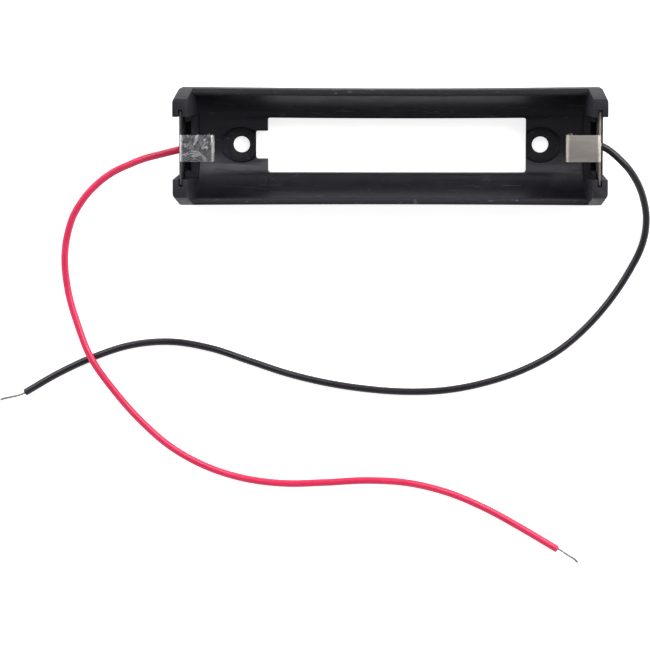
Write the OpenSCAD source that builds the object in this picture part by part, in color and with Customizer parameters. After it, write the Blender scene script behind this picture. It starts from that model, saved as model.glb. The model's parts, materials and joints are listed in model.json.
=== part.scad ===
// Open holder for one cylindrical cell, with a sprung contact and a wire lead at each end.
// The cell lies along X, the positive end at -X. Z = 0 is the underside of the housing.

/* [Cell] */
// Diameter of the cell
cell_d = 18.5; // [17.5:0.1:19.5]
// Length of the cell
cell_l = 65; // [60:0.5:70]

/* [Housing] */
// Space between the cell's side and the trough
cell_gap = 0.45; // [0.3:0.05:0.8]
// Thickness of the floor under the trough
floor_t = 2; // [1.6:0.1:2.8]
// Thickness of the side wall where the trough is widest
wall_t = 0.8; // [0.6:0.05:1.4]
// Height of the side walls
rim_z = 9.5; // [8:0.1:10.5]
// Width of the bevel along the inner edge of each rim
rim_bevel = 0.25; // [0.1:0.05:0.4]
// Height of the four corner posts
post_z = 15.2; // [13.5:0.1:17]
// How far the side of a post leans in from rim height to its top
post_lean = 1.7; // [0.5:0.1:2.5]
// Length of the flat on each upright corner, along the holder
corner_l = 0.8; // [0.3:0.1:1.2]
// Width of the flat on each upright corner, across the holder
corner_w = 2.2; // [1:0.1:3]
// Bevel along the lower long edges
base_bevel = 1.5; // [0.5:0.1:2.5]

/* [End walls] */
// Slope of the end wall's face towards the cell, from upright
end_slope = 6.6; // [3:0.2:9]
// Thickness of a post between the cell bay and the contact slot, at its top
inner_wall_t = 0.9; // [0.7:0.05:1.4]
// Thickness of a post outside the contact slot
outer_wall_t = 1.05; // [0.8:0.05:1.6]
// Width of the gap between the two posts of an end
gap_w = 11.2; // [9:0.1:12]
// Height of the sill that closes the trough between the posts
sill_z = 4.7; // [3.5:0.1:7]
// Length of the pit between the sill and the contact
pit_l = 0.8; // [0.5:0.05:1.2]
// How far each guide rib stands into the pit
rib_reach = 1.15; // [0.5:0.05:1.6]
// Height of the guide ribs
rib_z = 9; // [7.5:0.1:12]
// Fall of a guide rib's top towards its free edge
rib_fall = 0.5; // [0.1:0.1:1]
// How far the base strip outside the contact stands back from the posts
strip_step = 0.25; // [0.1:0.05:0.5]

/* [Floor] */
// Floor left between each screw hole and the end of the window
web_l = 1.1; // [0.6:0.05:6]
// Width of the window
window_w = 10.2; // [8:0.1:11]
// Length of the two tabs in the window's positive end
tab_l = 2.2; // [1:0.1:4]
// Width of the notch between the two tabs
notch_w = 5.2; // [3:0.1:7]
// Corner radius of the window
window_r = 0.5; // [0.2:0.1:1]
// Distance between the two screw holes
screw_spacing = 54.3; // [50:0.1:56]
// Diameter of the screw holes
screw_d = 3; // [2.5:0.1:3.4]
// Diameter of the flat seat under a screw head
seat_d = 6.1; // [5.2:0.1:6.4]
// Depth of the seat below the trough's lowest line
seat_depth = 0.9; // [0.5:0.1:1.2]
// Slope of the seat's wall towards the end of the holder, from upright
seat_slope = 40; // [10:1:45]
// Width of the seat's mouth across the holder
seat_w = 6.6; // [6.5:0.1:7]
// Radius of the seat's upright side walls
seat_side_r = 4.4; // [4:0.1:6]

/* [Contacts] */
// Thickness of the contact sheet
sheet_t = 0.3; // [0.2:0.05:0.4]
// Width of the contact plate
plate_w = 13.1; // [12.4:0.1:14]
// Corner cut at the foot of the plate
plate_corner = 0.6; // [0.2:0.1:1.5]
// Space on each face of the plate in its slot
slot_gap = 0.2; // [0.1:0.02:0.3]
// Space at each end of the slot
slot_end_gap = 0.3; // [0.1:0.05:0.5]
// Depth of the leaf's upper face below the post tops
leaf_drop = 0.15; // [0:0.05:0.5]
// Width of the sprung leaf
leaf_w = 4.75; // [3.5:0.05:6]
// Reach of the leaf from the plate towards the cell
leaf_reach = 5.9; // [4.5:0.1:7]
// Travel of the leaf when the cell goes in
leaf_travel = 1.2; // [0.5:0.1:1.8]
// Inner radius of the bend at the plate
plate_bend_r = 0.35; // [0.2:0.05:0.8]
// Inner radius of the bend over the cell
nose_bend_r = 0.45; // [0.3:0.05:1]
// Lean of the leaf's leg away from the cell
leg_lean = 6; // [0:0.5:10]
// Straight length of the leg
leg_l = 4.6; // [3:0.1:6]
// Inner radius of the curl at the leg's foot
curl_r = 1.4; // [0.8:0.1:2]
// Angle of the curl
curl_angle = 50; // [20:5:80]

/* [Leads] */
// Diameter over the insulation
lead_d = 1.3; // [1:0.05:1.6]
// Diameter of the bundle of bare strands
strand_d = 0.4; // [0.3:0.05:0.7]
// Length of each stripped end
strip_l = 5; // [3:0.5:8]
// Diameter of the solder cone where the lead's line meets the plate
solder_d = 2.2; // [1.6:0.1:3]

/* [Hidden] */
$fn = 64;

// How far a cutting shape reaches past what it cuts
over = 1;
X = [1, 0, 0];
UP = [0, 0, 1];

// Trough
trough_r = cell_d / 2 + cell_gap;
axis_z = floor_t + trough_r;
half_w = trough_r + wall_t;

// Places along the holder, from its middle to the positive X end
plate_x = cell_l / 2 - leaf_travel + leaf_reach;
plate_back_x = plate_x + sheet_t;
slot_in_x = plate_x - slot_gap;
slot_out_x = plate_back_x + slot_gap;
half_l = slot_out_x + outer_wall_t;
pit_x = slot_in_x - pit_l;
bay_top_x = slot_in_x - inner_wall_t;
nose_x = plate_x - leaf_reach;

// Half length of the window
window_end = (screw_spacing - screw_d) / 2 - web_l;

// Contact heights
leaf_z = post_z - leaf_drop;
plate_bend_out = plate_bend_r + sheet_t;
nose_bend_out = nose_bend_r + sheet_t;
curl_out = curl_r + sheet_t;

// Distance between rings along a lead, and sides of its section
ring_pitch = 3 * lead_d;
lead_sides = 8;

// Middle lines of the leads, from the solder joint to the end of the insulation. X is measured
// from the back of the lead's own contact plate.
positive_route = [
    [-0.5, -0.7, 5.5], [-3.7, -1.5, 5.5], [-7.1, -2.4, 5], [-10.1, -3.6, 3.9], [-13, -5, 2.6],
    [-15.8, -7, 1.6], [-18.5, -9.8, 1], [-20.9, -13.9, 0.7], [-22.2, -20, 0.7], [-21.7, -26.7, 0.8],
    [-19.9, -33.1, 1.3], [-17.4, -39.2, 2.1], [-13.3, -45.3, 1.2], [-8.5, -50.9, 0.7],
    [-2.9, -55.8, 0.7], [3.6, -59.4, 0.7], [10.6, -61.6, 0.7], [18, -62.5, 0.7], [25.5, -62.3, 0.7],
    [33, -61.9, 0.7], [40.5, -62.3, 0.7], [47.8, -64, 0.7], [54.8, -66.9, 0.7], [61.4, -70.5, 0.7],
    [68.3, -74.6, 0.7]
];
negative_route = [
    [0.5, 0, 5.5], [1.8, -0.7, 5.5], [3.4, -2, 5.4], [5.6, -4.3, 5], [7.4, -7.2, 3.9],
    [8.5, -10.3, 2.6], [9, -13.6, 1.6], [8.6, -17.3, 1], [7.2, -21, 0.7], [3.4, -27.3, 0.7],
    [-1.3, -33, 0.7],
    [-6.8, -37.8, 0.7], [-13.2, -41.3, 0.7], [-20.2, -43.7, 0.7], [-27.4, -45.1, 0.7],
    [-34.7, -45.4, 0.7], [-42, -44.9, 0.7], [-49.3, -43.8, 0.7], [-56.4, -42.1, 0.7],
    [-63.4, -39.8, 0.7], [-70.4, -37.5, 0.7], [-77.7, -36.3, 0.7], [-85, -36.9, 0.7],
    [-91.9, -39.1, 0.7], [-98.6, -42.2, 0.7], [-104.8, -45.8, 0.7]
];

// ---- Placing flat outlines ----

// An outline drawn in Y and Z, made a bar along X about the middle
module along_x(length) {
    rotate([90, 0, 90])
        linear_extrude(length, center = true)
            children();
}

// An outline drawn in X and Z, made a bar along Y about the middle
module along_y(length) {
    rotate([90, 0, 0])
        linear_extrude(length, center = true)
            children();
}

// A half outline on the right of the upright axis, closed by its mirror image
function both_sides(half) =
    concat(half, [for (i = [len(half) - 1 : -1 : 0]) [-half[i].x, half[i].y]]);

module rounded_rectangle(x0, x1, width, r) {
    translate([x0 + r, -width / 2])
        square([x1 - x0 - 2 * r, width]);
    translate([x0, r - width / 2])
        square([x1 - x0, width - 2 * r]);
    for (x = [x0 + r, x1 - r], y = [r - width / 2, width / 2 - r])
        translate([x, y])
            circle(r);
}

// Part of a ring about the origin, from angle a0 to a1, less than a half turn
module ring_part(r, t, a0, a1) {
    reach = 2 * (r + t);
    mid = (a0 + a1) / 2;
    intersection() {
        difference() {
            circle(r + t);
            circle(r);
        }
        polygon([
            [0, 0],
            reach * [cos(a0), sin(a0)],
            reach * [cos(mid), sin(mid)] * 1.5,
            reach * [cos(a1), sin(a1)]
        ]);
    }
}

// ---- Housing ----

// Half length of the cell bay at height z: the end walls slope
function bay_x(z) = bay_top_x - (post_z - z) * tan(end_slope);

module housing_block() {
    end_half = [
        [half_w - base_bevel, 0],
        [half_w, base_bevel],
        [half_w, rim_z],
        [half_w - post_lean, post_z]
    ];
    plan_half = [
        [half_l - corner_l, -half_w],
        [half_l, corner_w - half_w],
        [half_l, half_w - corner_w],
        [half_l - corner_l, half_w]
    ];
    intersection() {
        along_x(2 * half_l)
            polygon(both_sides(end_half));
        linear_extrude(post_z)
            polygon(both_sides(plan_half));
    }
}

// The trough, the bevels on its rims and the open space above them, between the sloped end walls
module cell_bay() {
    top_z = post_z + over;
    side_half = [[bay_x(0), 0], [bay_x(top_z), top_z]];
    rim_y = sqrt(pow(trough_r, 2) - pow(axis_z - rim_z, 2));
    bevel_half = [[rim_y - rim_bevel, rim_z - 2 * rim_bevel], [rim_y + rim_bevel, rim_z]];
    intersection() {
        along_y(2 * (half_w + over))
            polygon(both_sides(side_half));
        union() {
            translate([0, 0, axis_z])
                rotate([0, 90, 0])
                    cylinder(h = 2 * half_l, r = trough_r, center = true, $fn = 128);
            along_x(2 * half_l)
                polygon(both_sides(bevel_half));
            translate([-half_l, -half_w - over, rim_z])
                cube([2 * half_l, 2 * (half_w + over), post_z]);
        }
    }
}

module floor_window() {
    translate([0, 0, -over])
        linear_extrude(axis_z) {
            rounded_rectangle(tab_l - window_end, window_end, window_w, window_r);
            rounded_rectangle(-window_end, 0, notch_w, window_r);
        }
}

// A screw hole with its seat: a cone, cut off at both sides of the holder by upright walls
module screw_hole() {
    seat_z = floor_t - seat_depth;
    seat_h = rim_z - seat_z;
    translate([0, 0, -over])
        cylinder(h = floor_t + over, d = screw_d);
    translate([0, 0, seat_z])
        intersection() {
            cylinder(h = seat_h, r1 = seat_d / 2, r2 = seat_d / 2 + seat_h * tan(seat_slope));
            translate([0, seat_w / 2 - seat_side_r, 0])
                cylinder(h = seat_h, r = seat_side_r);
            translate([0, seat_side_r - seat_w / 2, 0])
                cylinder(h = seat_h, r = seat_side_r);
        }
}

// A box cut between the posts of the positive X end, open at the top
module gap_box(x0, x1, width, z0) {
    translate([x0, -width / 2, z0])
        cube([x1 - x0, width, post_z + over - z0]);
}

// The gap, pit and contact slot of the positive X end
module end_cuts() {
    pit_half = [
        [gap_w / 2 - rib_reach, floor_t],
        [gap_w / 2 - rib_reach, rib_z - rib_fall],
        [gap_w / 2, rib_z],
        [gap_w / 2, post_z + over]
    ];
    gap_box(bay_x(0), pit_x, gap_w, sill_z);
    translate([(pit_x + slot_in_x) / 2, 0, 0])
        along_x(slot_in_x - pit_x)
            polygon(both_sides(pit_half));
    gap_box(slot_in_x, half_l + over, gap_w, floor_t);
    gap_box(half_l - strip_step, half_l + over, gap_w, -over);
    gap_box(slot_in_x, slot_out_x, plate_w + 2 * slot_end_gap, floor_t);
}

module housing() {
    color("#28262c")
        difference() {
            housing_block();
            cell_bay();
            floor_window();
            for (x = [-screw_spacing / 2, screw_spacing / 2])
                translate([x, 0, 0])
                    screw_hole();
            end_cuts();
            mirror(X)
                end_cuts();
        }
}

// ---- Contacts ----

// The bent leaf seen from the side: over the plate, level to the nose, down the leg, curl
module leaf_profile() {
    flat_z = leaf_z - sheet_t;
    nose_centre = [nose_x + nose_bend_out, leaf_z - nose_bend_out];
    translate([plate_x - plate_bend_r, leaf_z - plate_bend_out])
        ring_part(plate_bend_r, sheet_t, 0, 90);
    translate([nose_centre.x, flat_z])
        square([plate_x - plate_bend_r - nose_centre.x, sheet_t]);
    translate(nose_centre) {
        ring_part(nose_bend_r, sheet_t, 90, 180 + leg_lean);
        rotate(leg_lean)
            translate([-nose_bend_out, -leg_l]) {
                square([sheet_t, leg_l]);
                translate([curl_out, 0])
                    ring_part(curl_r, sheet_t, 180, 180 + curl_angle);
            }
    }
}

// The contact of the positive X end: one sheet, a plate in the slot with the leaf bent over its top
module contact() {
    shoulder_z = leaf_z - plate_bend_out;
    plate_half = [
        [plate_w / 2 - plate_corner, floor_t],
        [plate_w / 2, floor_t + plate_corner],
        [plate_w / 2, shoulder_z]
    ];
    color("#b9b5ad") {
        translate([plate_x + sheet_t / 2, 0, 0])
            along_x(sheet_t)
                polygon(both_sides(plate_half));
        along_y(leaf_w)
            leaf_profile();
    }
}

module negative_contact() {
    contact();
}

module positive_contact() {
    mirror(X)
        contact();
}

// ---- Leads ----

function unit(v) = v / norm(v);

// Length of stretch i of a route
function stretch(route, i) = norm(route[i + 1] - route[i]);

// Direction of a route at point i, the same from both sides
function heading(route, i) =
    i == 0 ? unit(route[1] - route[0])
    : i == len(route) - 1 ? unit(route[i] - route[i - 1])
    : (route[i + 1] - route[i - 1]) / (stretch(route, i) + stretch(route, i - 1));

// Point at share u of stretch i, on a smooth curve through the route
function curve_point(route, i, u) =
    let (span = stretch(route, i))
    route[i] * (1 + 2 * u) * pow(1 - u, 2)
    + heading(route, i) * span * u * pow(1 - u, 2)
    + route[i + 1] * (3 - 2 * u) * pow(u, 2)
    + heading(route, i + 1) * span * (u - 1) * pow(u, 2);

// Ring centres along the curve of a route that starts at a contact plate's back
function ring_centres(route, back_x) =
    let (placed = [for (p = route) p + [back_x, 0, 0]])
    concat(
        [for (i = [0 : len(placed) - 2])
            let (count = max(1, round(stretch(placed, i) / ring_pitch)))
            for (k = [0 : count - 1]) curve_point(placed, i, k / count)],
        [placed[len(placed) - 1]]
    );

// Direction of the tube at ring i: its end rings are square to the last stretch
function ring_heading(c, i) = unit(c[min(i + 1, len(c) - 1)] - c[max(i - 1, 0)]);

// Corners of one ring about centre c, square to direction d
function ring_points(c, d, r) =
    let (side = unit(cross(UP, d)), top = cross(d, side))
    [for (k = [0 : lead_sides - 1])
        let (a = 360 * k / lead_sides)
        c + r * (cos(a) * side + sin(a) * top)];

module tube(centres, r) {
    last = len(centres) - 1;
    points = [for (i = [0 : last]) each ring_points(centres[i], ring_heading(centres, i), r)];
    walls = [for (i = [0 : last - 1], k = [0 : lead_sides - 1])
        let (a = i * lead_sides + k, b = i * lead_sides + (k + 1) % lead_sides)
        [a, b, b + lead_sides, a + lead_sides]];
    start_cap = [for (k = [lead_sides - 1 : -1 : 0]) k];
    end_cap = [for (k = [0 : lead_sides - 1]) last * lead_sides + k];
    polyhedron(points, concat([start_cap], walls, [end_cap]));
}

// Turns what points up towards direction d, and moves it to a place
module aim(place, d) {
    translate(place)
        rotate([0, acos(d.z), atan2(d.y, d.x)])
            children();
}

// Cone of solder from the lead's first ring to the back of the plate, which lies at plate_back_x
// on the given side. It is drawn twice as long as it is, and cut off at the plate.
module solder_joint(centres, side) {
    d = ring_heading(centres, 0);
    reach = (side * centres[0].x - plate_back_x) / abs(d.x);
    spread = solder_d - lead_d;
    color("#c4c3bf")
        intersection() {
            aim(centres[0], -d)
                cylinder(h = 2 * reach, d1 = lead_d, d2 = lead_d + 2 * spread);
            translate([side * (plate_back_x + solder_d), centres[0].y, centres[0].z])
                cube(2 * solder_d, center = true);
        }
}

// Bare strands from the end of the insulation, straight on
module strands(centres) {
    last = len(centres) - 1;
    color("#c9c6c0")
        aim(centres[last], ring_heading(centres, last))
            cylinder(h = strip_l, d = strand_d);
}

positive_centres = ring_centres(positive_route, -plate_back_x);
negative_centres = ring_centres(negative_route, plate_back_x);

module positive_lead() {
    color("#d9305a")
        tube(positive_centres, lead_d / 2);
}

module negative_lead() {
    color("#302d35")
        tube(negative_centres, lead_d / 2);
}

module positive_solder_joint() {
    solder_joint(positive_centres, -1);
}

module negative_solder_joint() {
    solder_joint(negative_centres, 1);
}

module positive_lead_strands() {
    strands(positive_centres);
}

module negative_lead_strands() {
    strands(negative_centres);
}

housing();
positive_contact();
negative_contact();
positive_solder_joint();
negative_solder_joint();
positive_lead();
negative_lead();
positive_lead_strands();
negative_lead_strands();
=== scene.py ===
"""Finish of the open cell holder: moulded housing, nickel plated contacts, soldered leads."""

import json
import math

import bmesh
import bpy
import numpy as np
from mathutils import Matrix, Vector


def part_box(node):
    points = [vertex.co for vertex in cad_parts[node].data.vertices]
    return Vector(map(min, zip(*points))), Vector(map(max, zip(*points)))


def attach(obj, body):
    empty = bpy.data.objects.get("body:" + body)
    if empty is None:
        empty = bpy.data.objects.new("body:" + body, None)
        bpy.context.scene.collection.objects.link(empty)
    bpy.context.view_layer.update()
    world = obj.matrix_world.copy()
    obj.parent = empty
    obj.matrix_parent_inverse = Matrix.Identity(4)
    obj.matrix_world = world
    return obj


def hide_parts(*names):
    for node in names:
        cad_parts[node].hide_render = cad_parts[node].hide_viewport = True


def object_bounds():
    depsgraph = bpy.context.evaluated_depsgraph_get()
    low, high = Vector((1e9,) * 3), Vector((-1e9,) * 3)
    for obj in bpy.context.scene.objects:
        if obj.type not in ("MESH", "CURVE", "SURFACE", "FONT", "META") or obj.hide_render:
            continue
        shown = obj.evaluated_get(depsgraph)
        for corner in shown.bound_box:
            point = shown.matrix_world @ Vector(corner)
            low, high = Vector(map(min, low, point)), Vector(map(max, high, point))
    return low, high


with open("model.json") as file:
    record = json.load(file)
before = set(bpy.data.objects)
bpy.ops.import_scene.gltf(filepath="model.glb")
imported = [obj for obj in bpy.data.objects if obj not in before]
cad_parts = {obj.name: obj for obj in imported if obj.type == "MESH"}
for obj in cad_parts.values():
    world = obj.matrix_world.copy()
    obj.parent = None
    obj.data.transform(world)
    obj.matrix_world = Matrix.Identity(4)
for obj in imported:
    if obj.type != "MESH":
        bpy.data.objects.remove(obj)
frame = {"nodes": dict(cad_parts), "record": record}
cad_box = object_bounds()
nodes = frame["nodes"]
MM = 0.001
HOLE_X = frame["record"]["mounts"][0]["dims"]["spacing_x_mm"] / 2 * MM


# ---- Camera ----

def place_camera():
    """A long lens nearly straight above the holder."""
    data = bpy.data.cameras.new("camera")
    data.lens = 185.2
    data.sensor_width = 36
    data.clip_end = 5
    camera = bpy.data.objects.new("camera", data)
    camera.location = (6.72 * MM, 32.48 * MM, 609.8 * MM)
    camera.rotation_euler = (math.radians(-6.147), math.radians(1.756), math.radians(-0.045))
    bpy.context.scene.collection.objects.link(camera)
    bpy.context.scene.camera = camera


place_camera()


# ---- Shader nodes ----

def fill(tree, item, inputs):
    """Gives sockets of a node values or links."""
    for name, value in inputs.items():
        if isinstance(value, bpy.types.NodeSocket):
            tree.links.new(value, item.inputs[name])
        else:
            item.inputs[name].default_value = value
    return item


def add(tree, kind, inputs=None, **options):
    """A shader node with its options set and its sockets given values or links."""
    item = tree.nodes.new("ShaderNode" + kind)
    for name, value in options.items():
        setattr(item, name, value)
    return fill(tree, item, inputs or {})


def calc(tree, operation, *values):
    """The result of a Math node on values or links."""
    return add(tree, "Math", dict(enumerate(values)), operation=operation).outputs[0]


def ramp(tree, value, low, high, to_low=0.0, to_high=1.0):
    """A value carried smoothly from low..high to to_low..to_high."""
    return add(tree, "MapRange", {"Value": value, "From Min": low, "From Max": high,
                                  "To Min": to_low, "To Max": to_high},
               interpolation_type="SMOOTHSTEP").outputs[0]


def plus(tree, first, second):
    return calc(tree, "ADD", first, second)


def less(tree, first, second):
    return calc(tree, "SUBTRACT", first, second)


def times(tree, first, second):
    return calc(tree, "MULTIPLY", first, second)


def most(tree, first, second):
    return calc(tree, "MAXIMUM", first, second)


def size_of(tree, value):
    return calc(tree, "ABSOLUTE", value)


def falling(tree, value, low, high):
    """1 below low, 0 above high, smooth between."""
    return less(tree, 1.0, ramp(tree, value, low, high))


def mix_colour(tree, share, first, second):
    """First colour at share 0, second at share 1."""
    return add(tree, "Mix", {0: share, 6: first, 7: second}, data_type="RGBA").outputs[2]


def colour(r, g, b):
    return (r, g, b, 1.0)


def make_group(name, inputs, outputs):
    """An empty node group with named value or vector sockets; returns its tree, input and output."""
    tree = bpy.data.node_groups.new(name, "ShaderNodeTree")
    for label, kind, default in inputs:
        socket = tree.interface.new_socket(label, in_out="INPUT", socket_type="NodeSocket" + kind)
        socket.default_value = default
    for label in outputs:
        tree.interface.new_socket(label, in_out="OUTPUT", socket_type="NodeSocketFloat")
    return tree, tree.nodes.new("NodeGroupInput"), tree.nodes.new("NodeGroupOutput")


def stretched(tree, vector, scale):
    """A vector with each of its parts multiplied by its own scale."""
    return add(tree, "Mapping", {"Vector": vector, "Scale": scale}).outputs[0]


def turned(tree, vector, angle, scale):
    """A vector turned about Z, then each of its parts multiplied by its own scale."""
    turn = add(tree, "Mapping", {"Vector": vector, "Rotation": (0, 0, angle)}).outputs[0]
    return stretched(tree, turn, scale)


def parts_of(tree, vector):
    """The X, Y and Z outputs of a vector."""
    return add(tree, "SeparateXYZ", {0: vector}).outputs


def far_from_zero(tree, vector):
    """A vector's length."""
    return add(tree, "VectorMath", {0: vector}, operation="LENGTH").outputs["Value"]


def noise(tree, vector, scale, detail, **inputs):
    """A noise's value from 0 to 1."""
    given = {"Vector": vector, "Scale": scale, "Detail": detail, **inputs}
    return add(tree, "TexNoise", given).outputs["Fac"]


def mix_value(tree, share, first, second):
    """First value at share 0, second at share 1."""
    return add(tree, "Mix", {0: share, 2: first, 3: second}, data_type="FLOAT").outputs[0]


def grain_group():
    """Fine grain and soft blotches: two noises of different size."""
    tree, given, put = make_group(
        "grain", [("Vector", "Vector", (0, 0, 0)), ("Grain Size", "Float", 0.0002),
                  ("Blotch Size", "Float", 0.002)], ["Grain", "Blotch"])
    for label, size, detail in (("Grain", "Grain Size", 3.0), ("Blotch", "Blotch Size", 4.0)):
        scale = calc(tree, "DIVIDE", 1.0, given.outputs[size])
        value = noise(tree, given.outputs["Vector"], scale, detail, Roughness=0.6)
        tree.links.new(ramp(tree, value, 0.25, 0.75), put.inputs[label])
    return tree


def hairline_group():
    """Straight broken scratches: thin bands where a long drawn noise crosses its middle value.

    The vector comes in turned and stretched, so that the noise is long along its first axis.
    """
    tree, given, put = make_group(
        "hairlines", [("Vector", "Vector", (0, 0, 0)), ("Pitch", "Float", 0.001),
                      ("Width", "Float", 0.02), ("Amount", "Float", 0.5)], ["Hairline"])
    scale = calc(tree, "DIVIDE", 1.0, given.outputs["Pitch"])
    off = size_of(tree, less(tree, noise(tree, given.outputs["Vector"], scale, 0.0), 0.5))
    line = falling(tree, off, 0.0, given.outputs["Width"])
    where = noise(tree, given.outputs["Vector"], times(tree, scale, 0.7), 1.0)
    limit = less(tree, 0.8, times(tree, given.outputs["Amount"], 0.5))
    kept = ramp(tree, where, limit, plus(tree, limit, 0.08))
    tree.links.new(times(tree, line, kept), put.inputs["Hairline"])
    return tree


def ring_group():
    """Fine rings about a centre: a wave over the distance from it, inside a radius."""
    tree, given, put = make_group(
        "rings", [("Vector", "Vector", (0, 0, 0)), ("Pitch", "Float", 0.0004),
                  ("Wobble", "Float", 0.0), ("Radius", "Float", 0.003)], ["Ring"])
    far = far_from_zero(tree, given.outputs["Vector"])
    waver = less(tree, noise(tree, given.outputs["Vector"], 900.0, 1.0), 0.5)
    place = plus(tree, far, times(tree, waver, given.outputs["Wobble"]))
    turns = calc(tree, "DIVIDE", place, given.outputs["Pitch"])
    wave = calc(tree, "SINE", times(tree, turns, 2 * math.pi))
    radius = given.outputs["Radius"]
    inside = falling(tree, far, times(tree, 0.93, radius), radius)
    wave = times(tree, plus(tree, times(tree, wave, 0.5), 0.5), inside)
    tree.links.new(wave, put.inputs["Ring"])
    return tree


GRAIN = grain_group()
HAIRLINES = hairline_group()
RINGS = ring_group()


def grain_of(tree, vector, grain_size, blotch_size):
    """The grain group's Grain and Blotch outputs."""
    return add(tree, "Group", {"Vector": vector, "Grain Size": grain_size, "Blotch Size": blotch_size},
               node_tree=GRAIN).outputs


def hairlines_of(tree, vector, pitch, width, amount):
    """The hairline group's output."""
    return add(tree, "Group", {"Vector": vector, "Pitch": pitch, "Width": width, "Amount": amount},
               node_tree=HAIRLINES).outputs[0]


def rings_of(tree, vector, pitch, wobble, radius):
    """The ring group's output."""
    return add(tree, "Group", {"Vector": vector, "Pitch": pitch, "Wobble": wobble, "Radius": radius},
               node_tree=RINGS).outputs[0]


# ---- Materials ----

def new_material(name):
    """A material, its tree and its shader."""
    material = bpy.data.materials.new(name)
    material.use_nodes = True
    return material, material.node_tree, material.node_tree.nodes["Principled BSDF"]


def own_place(tree):
    """The object's own coordinates, in metres."""
    return add(tree, "TexCoord").outputs["Object"]


def finish_shader(tree, shader, tone, rough, height, strength, depth):
    """Links the colour, the roughness and the bump that the height gives."""
    bump = add(tree, "Bump", {"Strength": strength, "Distance": depth, "Height": height})
    fill(tree, shader, {"Base Color": tone, "Roughness": rough, "Normal": bump.outputs[0]})


def outside_share(tree, far_x, far_y, z):
    """1 on the housing's grained outside, ends, rims and underside, 0 in the polished trough."""
    outside = most(tree, ramp(tree, far_y, 9.0 * MM, 9.4 * MM), ramp(tree, far_x, 34.5 * MM, 35.5 * MM))
    outside = most(tree, outside, ramp(tree, z, 9.2 * MM, 9.6 * MM))
    return most(tree, outside, falling(tree, z, 0.3 * MM, 0.5 * MM))


def painted_sheen_oval(tree, place):
    """The mask of a painted sheen: a soft oval beside the negative contact, long across the trough's
    corner.
    """
    oval = add(tree, "Mapping", {"Vector": place, "Location": (-30.6 * MM, 5.6 * MM, 0)}).outputs[0]
    oval = turned(tree, oval, -0.75, (1 / (2.9 * MM), 1 / (1.2 * MM), 0))
    return falling(tree, far_from_zero(tree, oval), 0.2, 1.1)


def mould_rings(tree, x, y, far_x):
    """Turned rings on the screw seats, and two small ones that ejector pins leave on the wall."""
    seat = add(tree, "CombineXYZ", {0: less(tree, far_x, HOLE_X), 1: y}).outputs[0]
    rings = rings_of(tree, seat, 0.5 * MM, 0.1 * MM, 3.1 * MM)
    pin_x = calc(tree, "MINIMUM", size_of(tree, plus(tree, x, 28.7 * MM)),
                 size_of(tree, less(tree, x, 0.9 * MM)))
    pin = add(tree, "CombineXYZ", {0: pin_x, 1: plus(tree, y, 7.7 * MM)}).outputs[0]
    return rings, rings_of(tree, pin, 0.5 * MM, 0.25 * MM, 0.85 * MM)


def plastic_material():
    """Black moulded plastic: polished in the cell's trough and finely grained outside it.

    Lines along the trough, rings, a few scratches and nicks on the rims are shallow dents. A
    painted sheen makes one grainy patch beside the negative contact paler.
    """
    material, tree, shader = new_material("moulded plastic")
    place = own_place(tree)
    x, y, z = parts_of(tree, place)
    far_x, far_y = size_of(tree, x), size_of(tree, y)
    outside = outside_share(tree, far_x, far_y, z)
    grain = grain_of(tree, place, 0.26 * MM, 2.6 * MM)
    drawn = noise(tree, stretched(tree, place, (0.03, 1, 1)), 3200.0, 2.0)
    rings, pins = mould_rings(tree, x, y, far_x)
    scratch = 0.0
    for angle, amount in ((0.1, 0.5), (0.9, 0.35), (-0.6, 0.35)):
        line = hairlines_of(tree, turned(tree, place, angle, (0.08, 1, 1)), 1.1 * MM, 0.02, amount)
        scratch = most(tree, scratch, line)
    rim = times(tree, ramp(tree, far_y, 9.3 * MM, 9.5 * MM), ramp(tree, z, 9.1 * MM, 9.3 * MM))
    nick = noise(tree, stretched(tree, place, (0.5, 1, 1)), 1500.0, 1.0)
    nick = times(tree, ramp(tree, nick, 0.66, 0.72), rim)
    # Painted sheen: a grainy pale oval beside the negative contact, mixed into the colour below
    painted_sheen = times(tree, painted_sheen_oval(tree, place), grain["Grain"])

    tone = mix_colour(tree, outside, colour(0.0050, 0.0042, 0.0072), colour(0.0125, 0.0115, 0.0165))
    tone = mix_colour(tree, times(tree, grain["Blotch"], 0.3), tone, colour(0.014, 0.013, 0.018))
    pale = most(tree, times(tree, scratch, 0.4), times(tree, nick, 0.7))
    # Paler where scratches and nicks wear the plastic, and where the sheen is painted
    pale = most(tree, pale, times(tree, painted_sheen, 0.35))
    tone = mix_colour(tree, pale, tone, colour(0.07, 0.07, 0.085))
    rough = plus(tree, times(tree, outside, 0.13), plus(tree, 0.38, times(tree, grain["Blotch"], 0.08)))

    height = times(tree, grain["Grain"], plus(tree, 0.12, times(tree, outside, 0.88)))
    for dent, share in ((drawn, 0.15), (rings, 0.35), (pins, 0.5)):
        height = plus(tree, height, times(tree, dent, share))
    height = less(tree, height, most(tree, scratch, nick))
    finish_shader(tree, shader, tone, rough, height, 0.8, 0.035 * MM)
    shader.inputs["IOR"].default_value = 1.47
    shader.inputs["Specular Tint"].default_value = colour(0.95, 0.92, 1.0)
    return material


def nickel_base(tree, shader, place, dull, bright, roughness):
    """Nickel plate on rolled sheet: its fine rolling grain, cloudy tone and roughness."""
    grain = grain_of(tree, stretched(tree, place, (0.15, 1, 1)), 0.05 * MM, 0.7 * MM)
    tone = mix_colour(tree, grain["Blotch"], dull, bright)
    rough = plus(tree, roughness, times(tree, grain["Grain"], 0.1))
    shader.inputs["Metallic"].default_value = 1.0
    return grain["Grain"], tone, rough


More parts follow.
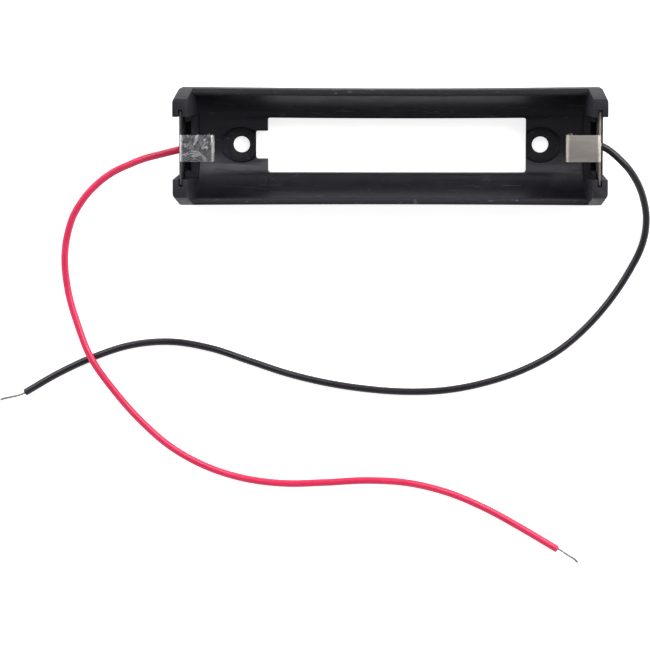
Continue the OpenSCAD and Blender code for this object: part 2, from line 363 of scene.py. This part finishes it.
def satin_nickel():
    """The negative contact's plate, evenly rubbed."""
    material, tree, shader = new_material("satin nickel")
    place = own_place(tree)
    grain, tone, rough = nickel_base(tree, shader, place, colour(0.58, 0.53, 0.49),
                                     colour(0.72, 0.67, 0.63), 0.36)
    lines = hairlines_of(tree, turned(tree, place, 1.2, (0.1, 1, 1)), 0.5 * MM, 0.03, 0.5)
    finish_shader(tree, shader, tone, rough, less(tree, grain, lines), 0.2, 0.003 * MM)
    return material


def scuffed_nickel():
    """The positive contact's plate, bright but rubbed dull by cells on the leaf.

    The rubbed marks are nested arcs on its -Y half and slanted strokes on its +Y half.
    """
    material, tree, shader = new_material("scuffed nickel")
    place = own_place(tree)
    grain, tone, rough = nickel_base(tree, shader, place, colour(0.44, 0.43, 0.43),
                                     colour(0.58, 0.57, 0.58), 0.17)
    low = add(tree, "Mapping", {"Vector": place, "Location": (35.1 * MM, 4.2 * MM, 0)}).outputs[0]
    arcs = rings_of(tree, stretched(tree, low, (1, 0.8, 0)), 0.36 * MM, 0.7 * MM, 3.2 * MM)
    strokes = hairlines_of(tree, turned(tree, place, -0.95, (0.2, 1, 0)), 0.42 * MM, 0.1, 0.8)
    y, z = parts_of(tree, place)[1:]
    haze = ramp(tree, noise(tree, place, 1100.0, 2.0), 0.42, 0.62)
    mark = mix_value(tree, falling(tree, y, -0.4 * MM, 0.1 * MM), strokes, ramp(tree, arcs, 0.5, 0.85))
    mark = times(tree, mark, plus(tree, 0.35, times(tree, haze, 0.65)))
    mark = times(tree, plus(tree, mark, times(tree, haze, 0.25)), ramp(tree, z, 14.7 * MM, 14.95 * MM))
    tone = mix_colour(tree, mark, tone, colour(0.66, 0.67, 0.72))
    rough = plus(tree, rough, times(tree, mark, 0.32))
    height = plus(tree, times(tree, grain, 0.3), mark)
    finish_shader(tree, shader, tone, rough, height, 0.25, 0.006 * MM)
    return material


def insulation_material(name, deep, pale, roughness):
    """Extruded soft plastic: faint cloudy tone, fine lines along the lead, satin gloss.

    The lines come from noise on a drum: cosine and sine of the turn, and the way along.
    """
    material, tree, shader = new_material(name)
    along, share = parts_of(tree, add(tree, "UVMap", uv_map="along").outputs[0])[:2]
    turn = times(tree, share, 2 * math.pi)
    drum = add(tree, "CombineXYZ", {0: calc(tree, "COSINE", turn), 1: calc(tree, "SINE", turn),
                                    2: times(tree, along, 60.0)}).outputs[0]
    grain = grain_of(tree, own_place(tree), 0.1 * MM, 4 * MM)
    tone = mix_colour(tree, grain["Blotch"], deep, pale)
    rough = plus(tree, roughness, times(tree, grain["Grain"], 0.08))
    height = plus(tree, times(tree, grain["Grain"], 0.3), noise(tree, drum, 3.0, 2.0))
    finish_shader(tree, shader, tone, rough, height, 0.3, 0.01 * MM)
    return material


def tinned_material(name, dark, bright, roughness):
    """Tin on copper or solder: metal with dull patches."""
    material, tree, shader = new_material(name)
    grain = grain_of(tree, own_place(tree), 0.06 * MM, 0.4 * MM)
    tone = mix_colour(tree, grain["Blotch"], dark, bright)
    rough = plus(tree, roughness, times(tree, grain["Grain"], 0.15))
    finish_shader(tree, shader, tone, rough, grain["Grain"], 0.3, 0.004 * MM)
    shader.inputs["Metallic"].default_value = 1.0
    return material


PLASTIC = plastic_material()
POSITIVE_NICKEL = scuffed_nickel()
NEGATIVE_NICKEL = satin_nickel()
RED = insulation_material("red insulation", colour(0.74, 0.024, 0.09), colour(0.84, 0.034, 0.12), 0.2)
BLACK = insulation_material("black insulation", colour(0.013, 0.0105, 0.015),
                            colour(0.020, 0.0165, 0.023), 0.2)
TIN = tinned_material("tinned wire", colour(0.22, 0.21, 0.19), colour(0.42, 0.40, 0.37), 0.3)
SOLDER = tinned_material("solder", colour(0.3, 0.3, 0.3), colour(0.5, 0.5, 0.49), 0.42)


# ---- Meshes from grids of points ----

def unit(v):
    """Each vector of an array brought to length 1."""
    return v / np.linalg.norm(v, axis=-1, keepdims=True)


def grid_mesh(name, points, along=None, capped=False):
    """A smooth mesh over a grid of points[u, v], closed in v, with quads between neighbours.

    With v running against the clock as seen along u, the faces point outwards. Along gives each
    ring's place for the UV map, whose other coordinate is the share of the turn. Capped closes
    the first and the last ring with one face each.
    """
    nu, nv = points.shape[:2]
    i, j = np.meshgrid(np.arange(nu - 1), np.arange(nv), indexing="ij")
    j2 = (j + 1) % nv
    quads = np.stack([i * nv + j, (i + 1) * nv + j, (i + 1) * nv + j2, i * nv + j2], -1)
    faces = quads.reshape(-1, 4).tolist()
    if capped:
        faces += [list(range(nv)), [(nu - 1) * nv + k for k in range(nv - 1, -1, -1)]]
    mesh = bpy.data.meshes.new(name)
    mesh.from_pydata(points.reshape(-1, 3), [], faces)
    if along is not None:
        u = np.stack([along[i], along[i + 1], along[i + 1], along[i]], -1)
        v = np.stack([j, j, j + 1, j + 1], -1) / nv
        uv = np.stack([u, v], -1).reshape(-1, 2)
        uv = np.vstack([uv, np.zeros((len(mesh.loops) - len(uv), 2))])
        mesh.uv_layers.new(name="along").data.foreach_set("uv", uv.reshape(-1))
    mesh.polygons.foreach_set("use_smooth", np.full(len(mesh.polygons), True))
    mesh.update()
    return mesh


def add_piece(name, mesh, material):
    """Puts a finished mesh in the scene as a piece of the holder."""
    piece = bpy.data.objects.new(name, mesh)
    bpy.context.scene.collection.objects.link(piece)
    mesh.materials.append(material)
    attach(piece, "root")
    return piece


def section_frame(line):
    """Heading, side and top directions at each point of a line that lies nearly level."""
    heading = unit(np.gradient(line, axis=0))
    side = unit(np.cross([0, 0, 1.0], heading))
    return heading, side, np.cross(heading, side)


def tube(line, radius, around):
    """Points of a tube: p(s, a) = line(s) + radius(s) (side cos a - top sin a)."""
    heading, side, top = section_frame(line)
    a = np.linspace(0, 2 * np.pi, around, endpoint=False)[None, :, None]
    r = np.broadcast_to(radius, len(line))[:, None, None]
    return line[:, None] + r * (side[:, None] * np.cos(a) - top[:, None] * np.sin(a))


# ---- Leads ----

# Middle lines from the back of each contact plate, in metres
POSITIVE_ROUTE = MM * np.array([
    [-0.5, -0.7, 5.5], [-3.7, -1.5, 5.5], [-7.1, -2.4, 5], [-10.1, -3.6, 3.9], [-13, -5, 2.6],
    [-15.8, -7, 1.6], [-18.5, -9.8, 1], [-20.9, -13.9, 0.7], [-22.2, -20, 0.7], [-21.7, -26.7, 0.8],
    [-19.9, -33.1, 1.3], [-17.4, -39.2, 2.1], [-13.3, -45.3, 1.2], [-8.5, -50.9, 0.7],
    [-2.9, -55.8, 0.7], [3.6, -59.4, 0.7], [10.6, -61.6, 0.7], [18, -62.5, 0.7], [25.5, -62.3, 0.7],
    [33, -61.9, 0.7], [40.5, -62.3, 0.7], [47.8, -64, 0.7], [54.8, -66.9, 0.7], [61.4, -70.5, 0.7],
    [68.3, -74.6, 0.7],
])
NEGATIVE_ROUTE = MM * np.array([
    [0.5, 0, 5.5], [1.8, -0.7, 5.5], [3.4, -2, 5.4], [5.6, -4.3, 5], [7.4, -7.2, 3.9],
    [8.5, -10.3, 2.6], [9, -13.6, 1.6], [8.6, -17.3, 1], [7.2, -21, 0.7], [3.4, -27.3, 0.7],
    [-1.3, -33, 0.7],
    [-6.8, -37.8, 0.7], [-13.2, -41.3, 0.7], [-20.2, -43.7, 0.7], [-27.4, -45.1, 0.7],
    [-34.7, -45.4, 0.7], [-42, -44.9, 0.7], [-49.3, -43.8, 0.7], [-56.4, -42.1, 0.7],
    [-63.4, -39.8, 0.7], [-70.4, -37.5, 0.7], [-77.7, -36.3, 0.7], [-85, -36.9, 0.7],
    [-91.9, -39.1, 0.7], [-98.6, -42.2, 0.7], [-104.8, -45.8, 0.7],
])
LEAD_D = 1.3 * MM
WIRE_D = 0.11 * MM
AROUND = 24
TWIST = 3.6
SPLAY = (0.2, 1.0, 0.3, 0.7, 0.1, 0.5)


def smooth_line(route, per_stretch):
    """The route's smooth curve: on each stretch a cubic through both ends, with their headings."""
    chord = np.linalg.norm(np.diff(route, axis=0), axis=1)[:, None]
    heading = np.empty_like(route)
    heading[1:-1] = (route[2:] - route[:-2]) / (chord[1:] + chord[:-1])
    heading[[0, -1]] = unit(route[[1, -1]] - route[[0, -2]])
    u = np.linspace(0, 1, per_stretch, endpoint=False)[None, :, None]
    p0, p1 = route[:-1, None], route[1:, None]
    h0, h1 = heading[:-1, None], heading[1:, None]
    span = chord[:, None]
    line = (p0 * (1 + 2 * u) * (1 - u) ** 2 + h0 * span * u * (1 - u) ** 2
            + p1 * (3 - 2 * u) * u ** 2 + h1 * span * (u - 1) * u ** 2)
    return np.vstack([line.reshape(-1, 3), route[-1:]])


def line_length(line):
    """Distance along a line from its start to each of its points."""
    return np.concatenate([[0], np.cumsum(np.linalg.norm(np.diff(line, axis=0), axis=1))])


def insulation_mesh(name, line):
    """The insulation: a round tube with softened rims, and cut faces drawn in to the strands.

    The rings at each end keep the end's heading. Their share of the radius falls from 1 to the
    hole's, while they run out to the end and then back into the hole.
    """
    share = np.array([0.3, 0.34, 0.5, 0.8, 0.94, 0.99])
    inset = LEAD_D * np.array([0.3, 0.02, 0.0, 0.0, 0.03, 0.1])
    first = line[0] + inset[:, None] * unit(line[1] - line[0])
    last = line[-1] - inset[::-1, None] * unit(line[-1] - line[-2])
    start = end_rings(first, unit(line[1] - line[0]), share)
    finish = end_rings(last, unit(line[-1] - line[-2]), share[::-1])
    points = np.vstack([start, tube(line[2:-2], LEAD_D / 2, AROUND), finish])
    middle = points.mean(axis=1)
    return grid_mesh(name, points, along=line_length(middle), capped=True)


def end_rings(centres, heading, share):
    """Rings of one heading about the given centres."""
    side = unit(np.cross([0, 0, 1.0], heading))
    top = np.cross(heading, side)
    a = np.linspace(0, 2 * np.pi, AROUND, endpoint=False)[None, :, None]
    r = (share * LEAD_D / 2)[:, None, None]
    return centres[:, None] + r * (side * np.cos(a) - top * np.sin(a))


def strand_bundle(name, middle):
    """Seven wires: one on the middle line, six in two bunches of three that wind about it.

    Wire k stands at middle(s) + helix radius(s) (side cos b + top sin b), where b grows with
    TWIST s, is half a turn on for the second bunch and a little on for each wire of a bunch. The
    radius grows with the cube of s by the wire's splay.
    """
    heading, side, top = section_frame(middle)
    s = np.linspace(0, 1, len(middle))
    wires = [tube(middle[:-3], WIRE_D / 2, 8)]
    for k in range(6):
        b = (2 * np.pi * (TWIST * s + k % 2 / 2) + 0.75 * (k // 2 - 1) * (1 + s))[:, None]
        reach = (WIRE_D * (0.95 + 0.15 * (k // 2 % 2) + SPLAY[k] * s ** 3))[:, None]
        wire = middle + reach * (side * np.cos(b) + top * np.sin(b))
        wire[:, 2] = np.maximum(wire[:, 2], WIRE_D / 2)
        stop = len(s) - (3 * k) % 7
        wires.append(tube(wire[:stop], WIRE_D / 2, 8))
    return join_grids(name, wires)


def join_grids(name, grids):
    """One mesh of several capped tubes."""
    parts = [grid_mesh(name, points, capped=True) for points in grids]
    bm = bmesh.new()
    for part in parts:
        bm.from_mesh(part)
    mesh = bpy.data.meshes.new(name)
    bm.to_mesh(mesh)
    bm.free()
    for part in parts:
        bpy.data.meshes.remove(part)
    return mesh


def make_lead(pole, route, back_x, material, bare):
    """The insulated lead of one pole with its stripped end, which follows the points bare."""
    line = smooth_line(route + [back_x, 0, 0], 8)
    piece = add_piece(f"{pole}_lead_insulation", insulation_mesh(f"{pole}_lead_insulation", line),
                      material)
    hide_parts(f"{pole}_lead")
    tip = line[-1]
    ahead = unit(line[-1] - line[-2])
    across = np.cross([0, 0, 1.0], ahead)
    points = np.array([tip + MM * (a * ahead + b * across) + [0, 0, c * MM] for a, b, c in bare])
    middle = smooth_line(points, 18)
    strands = add_piece(f"{pole}_bare_strands", strand_bundle(f"{pole}_bare_strands", middle), TIN)
    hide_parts(f"{pole}_lead_strands")
    return line


positive_line = make_lead(
    "positive", POSITIVE_ROUTE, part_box("positive_contact")[0].x, RED,
    [(-0.4, 0.1, 0), (0.6, 0.15, -0.1), (2.2, 0.05, -0.3), (3.8, -0.02, -0.45), (4.6, -0.25, -0.5)])
negative_line = make_lead(
    "negative", NEGATIVE_ROUTE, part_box("negative_contact")[1].x, BLACK,
    [(-0.4, 0, 0), (0.5, -0.02, -0.05), (1.6, -0.25, -0.25), (3, -0.7, -0.42), (4.9, -1.25, -0.5)])


# ---- Solder joints ----

def solder_blob(pole, side, line):
    """A fillet from the plate's back to the insulation.

    p(u, a) = middle(u) + r(u, a) (across cos a + up sin a): u goes from the plate to the lead, the
    ring's plane turns from the plate's to the lead's, and r falls with the square of 1 - u.
    """
    end, ahead = line[0], unit(line[1] - line[0])
    back_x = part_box(f"{pole}_contact")[0].x if side < 0 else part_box(f"{pole}_contact")[1].x
    foot = end - ahead * (end[0] - back_x) / ahead[0]
    u = np.linspace(0, 1, 14)[:, None]
    normal = unit((1 - u) * [side, 0, 0] + u * ahead)
    middle = foot + u * (end - foot)
    across = unit(np.cross([0, 0, 1.0], normal))
    up = np.cross(normal, across)
    a = np.linspace(0, 2 * np.pi, 28, endpoint=False)
    swell = 1 + (1 - u) * (0.06 * np.sin(3 * a + 1) + 0.04 * np.sin(5 * a))
    r = (0.6 * LEAD_D / 2 + 0.75 * MM * (1 - u) ** 2) * swell
    points = middle[:, None] + r[..., None] * (across[:, None] * np.cos(a)[None, :, None]
                                               - up[:, None] * np.sin(a)[None, :, None])
    piece = add_piece(f"{pole}_solder_fillet", grid_mesh(f"{pole}_solder_fillet", points, capped=True),
                      SOLDER)
    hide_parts(f"{pole}_solder_joint")


solder_blob("positive", -1, positive_line)
solder_blob("negative", 1, negative_line)


# ---- Housing and contacts: the solids with their edges rounded ----

def merged_copy(node):
    """A node's mesh with doubled points merged and flat faces made whole."""
    bm = bmesh.new()
    bm.from_mesh(nodes[node].data)
    bmesh.ops.remove_doubles(bm, verts=bm.verts, dist=0.001 * MM)
    bmesh.ops.dissolve_limit(bm, angle_limit=math.radians(0.5), verts=bm.verts, edges=bm.edges)
    return bm


def sharp_edges(bm, least_angle):
    """Edges between two faces that turn by more than least_angle, in degrees."""
    return [e for e in bm.edges if e.is_manifold and e.calc_face_angle() > math.radians(least_angle)]


def axis_of(edge):
    """An edge's direction, with its middle and its length."""
    span = edge.verts[1].co - edge.verts[0].co
    return span.normalized(), (edge.verts[0].co + edge.verts[1].co) / 2, span.length


def round_off(bm, edges, radius, segments):
    """Rounds the given edges that are still there."""
    edges = [edge for edge in edges if edge.is_valid]
    bmesh.ops.bevel(bm, geom=edges, offset=radius, segments=segments, profile=0.5, affect="EDGES",
                    clamp_overlap=True)


def finish_mesh(bm, name, least_angle):
    """The mesh of a bmesh, shaded smooth but for edges sharper than least_angle."""
    mesh = bpy.data.meshes.new(name)
    bm.to_mesh(mesh)
    bm.free()
    mesh.polygons.foreach_set("use_smooth", np.full(len(mesh.polygons), True))
    mesh.set_sharp_from_angle(angle=math.radians(least_angle))
    return mesh


def bow(points):
    """Rims drawn inwards at mid-length, as a cooling moulding does.

    The +Y side moves in by 0.28 mm at most at every height, the -Y side by 0.14 mm at its rim.
    Both fall off with the square of the distance from mid-length.
    """
    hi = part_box("housing")[1]
    x, y, z = points.T
    middle = np.clip(1 - ((x - 2 * MM) / (0.93 * hi.x)) ** 2, 0, None)
    right = np.clip(y / (0.45 * hi.y), 0, 1)
    left = np.clip(-y / (0.9 * hi.y), 0, 1) * np.clip(z / (0.6 * hi.z), 0, 1)
    points[:, 1] = y - middle * MM * (0.28 * right - 0.14 * left)
    return points


def make_housing():
    """The housing with its edges rounded, each kind by its own radius, and its rims bowed."""
    bm = merged_copy("housing")
    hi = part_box("housing")[1]
    for x in np.linspace(-20, 20, 9) * MM:
        everything = bm.verts[:] + bm.edges[:] + bm.faces[:]
        bmesh.ops.bisect_plane(bm, geom=everything, dist=1e-7, plane_co=(x, 0, 0), plane_no=(1, 0, 0))
    corners, sills, seats, tops = [], [], [], []
    for edge in sharp_edges(bm, 15):
        way, middle, length = axis_of(edge)
        turn = edge.calc_face_angle()
        from_hole = math.hypot(abs(middle.x) - HOLE_X, middle.y)
        if abs(way.z) > 0.9 and abs(middle.x) > 0.97 * hi.x and abs(middle.y) > 0.75 * hi.y:
            corners.append(edge)
        elif abs(way.y) > 0.99 and length > 8 * MM and 4 * MM < middle.z < 6 * MM:
            sills.append(edge)
        elif (edge.is_convex and turn > math.radians(40) and 3.2 * MM < from_hole < 4 * MM
              and 1.9 * MM < middle.z < 2.7 * MM and abs(middle.x) > 25.4 * MM):
            seats.append(edge)
        elif abs(way.y) > 0.99 and middle.z > 0.99 * hi.z and abs(middle.x) < 0.96 * hi.x:
            tops.append(edge)
    round_off(bm, corners, 0.45 * MM, 4)
    round_off(bm, sills, 0.22 * MM, 4)
    round_off(bm, seats, 0.28 * MM, 4)
    round_off(bm, tops, 0.18 * MM, 3)
    round_off(bm, sharp_edges(bm, 28), 0.07 * MM, 2)
    mesh = finish_mesh(bm, "housing_moulding", 35)
    points = np.empty(len(mesh.vertices) * 3)
    mesh.vertices.foreach_get("co", points)
    mesh.vertices.foreach_set("co", bow(points.reshape(-1, 3)).reshape(-1))
    mesh.update()
    piece = add_piece("housing_moulding", mesh, PLASTIC)
    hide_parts("housing")


def make_contact(pole, material):
    """A contact with the rolled edges of sheared sheet: wide on its upper side, small elsewhere."""
    bm = merged_copy(f"{pole}_contact")
    upper = []
    for edge in sharp_edges(bm, 70):
        way, middle, _ = axis_of(edge)
        rise = max(face.normal.z for face in edge.link_faces)
        if abs(way.y) < 0.1 and middle.z > 10 * MM and rise > 0.25:
            upper.append(edge)
    round_off(bm, upper, 0.2 * MM, 4)
    round_off(bm, sharp_edges(bm, 50), 0.06 * MM, 2)
    piece = add_piece(f"{pole}_contact_sheet", finish_mesh(bm, f"{pole}_contact_sheet", 40), material)
    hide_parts(f"{pole}_contact")


# ---- Polarity marks on the trough's wall ----

TROUGH_R = 9.7 * MM
TROUGH_AXIS_Z = 11.7 * MM
# Each bar's first x, last x, first y and last y, in millimetres
BARS = [(19.6, 23.8, -7.2, -7.2), (21.4, 24.8, 7.15, 7.15), (-24, -19.8, -7.2, -7.2),
        (-22, -22, -5.5, -8.4)]


def raised_bar(x, y, width, height):
    """Points of a bar on the trough's wall along x and y, given as arrays of equal length.

    Its section is an ellipse about the wall's surface, width across and height proud. It shrinks
    to a point at each end by sqrt(1 - t^2) over the last stretch.
    """
    z = TROUGH_AXIS_Z - np.sqrt(TROUGH_R ** 2 - y ** 2)
    line = bow(np.stack([x, y, z], -1))
    heading = unit(np.gradient(line, axis=0))
    inward = unit(np.stack([0 * x, -y, TROUGH_AXIS_Z - z], -1))
    across = np.cross(inward, heading)
    along = line_length(line)
    t = np.clip(1 - np.minimum(along, along[-1] - along) / (0.5 * width), 0, 0.995)
    share = np.sqrt(1 - t ** 2)[:, None, None]
    a = np.linspace(0, 2 * np.pi, 12, endpoint=False)[None, :, None]
    return line[:, None] + share * (across[:, None] * np.cos(a) * width / 2
                                    - inward[:, None] * np.sin(a) * height)


def polarity_marks():
    """A minus on both walls beside the negative contact, and a plus beside the positive one."""
    step = np.linspace(0, 1, 24)
    bars = []
    for x0, x1, y0, y1 in BARS:
        bars.append(raised_bar((x0 + (x1 - x0) * step) * MM, (y0 + (y1 - y0) * step) * MM,
                               0.36 * MM, 0.1 * MM))
    add_piece("polarity_marks", join_grids("polarity_marks", bars), PLASTIC)


polarity_marks()
make_housing()
make_contact("positive", POSITIVE_NICKEL)
make_contact("negative", NEGATIVE_NICKEL)


# ---- Floor, backdrop and light ----

def make_floor():
    """A pale floor that keeps a faint shadow, with a white added for straight and mirrored looks."""
    lo, hi = cad_box
    middle, reach = (lo + hi) / 2, 0.6
    mesh = bpy.data.meshes.new("floor")
    mesh.from_pydata([(middle.x + sx * reach, middle.y + sy * reach, lo.z - 0.02 * MM)
                      for sx, sy in ((-1, -1), (1, -1), (1, 1), (-1, 1))], [], [(0, 1, 2, 3)])
    floor = bpy.data.objects.new("floor", mesh)
    bpy.context.scene.collection.objects.link(floor)
    material, tree, shader = new_material("pale floor")
    shader.inputs["Base Color"].default_value = colour(0.85, 0.85, 0.85)
    shader.inputs["Roughness"].default_value = 0.8
    shader.inputs["Specular IOR Level"].default_value = 0.1
    rays = add(tree, "LightPath")
    mirrored = most(tree, rays.outputs["Is Glossy Ray"], rays.outputs["Is Transmission Ray"])
    seen = plus(tree, times(tree, rays.outputs["Is Camera Ray"], 0.75), times(tree, mirrored, 0.4))
    glow = add(tree, "Emission", {"Strength": seen})
    both = add(tree, "AddShader", {0: shader.outputs[0], 1: glow.outputs[0]})
    tree.links.new(both.outputs[0], tree.nodes["Material Output"].inputs["Surface"])
    mesh.materials.append(material)


def sky_patch(tree, azimuth, height, turns, heights, soft):
    """Share 0 to 1 inside a patch of sky between two azimuths and two heights."""
    share = times(tree, ramp(tree, azimuth, turns[0] - soft, turns[0] + soft),
                  falling(tree, azimuth, turns[1] - soft, turns[1] + soft))
    share = times(tree, share, ramp(tree, height, heights[0] - 0.04, heights[0] + 0.04))
    return times(tree, share, falling(tree, height, heights[1] - 0.04, heights[1] + 0.04))


# Each soft box's azimuths in radians, heights as the sine of the elevation, and strength
SOFT_BOXES = [((0.25, 1.3), (0.52, 0.78), 7.0), ((1.85, 2.75), (0.45, 0.68), 4.5)]


def make_world():
    """A light tent with a dim top and two soft boxes on the +Y side."""
    world = bpy.data.worlds.new("light tent")
    bpy.context.scene.world = world
    world.use_nodes = True
    tree = world.node_tree
    x, y, z = parts_of(tree, add(tree, "TexCoord").outputs["Generated"])
    azimuth = calc(tree, "ARCTAN2", y, x)
    sides = plus(tree, 1.2, times(tree, y, 0.25))
    level = mix_value(tree, ramp(tree, z, 0.25, 0.5), sides, 0.38)
    level = mix_value(tree, ramp(tree, z, 0.86, 0.97), level, 0.12)
    for turns, heights, strength in SOFT_BOXES:
        patch = sky_patch(tree, azimuth, z, turns, heights, 0.15)
        level = plus(tree, level, times(tree, patch, strength))
    level = mix_value(tree, add(tree, "LightPath").outputs["Is Camera Ray"], level, 1.0)
    fill(tree, tree.nodes["Background"], {"Strength": level})
    tree.nodes["Background"].inputs["Color"].default_value = colour(1, 1, 1)


make_floor()
make_world()
bpy.context.scene.view_settings.view_transform = "Standard"
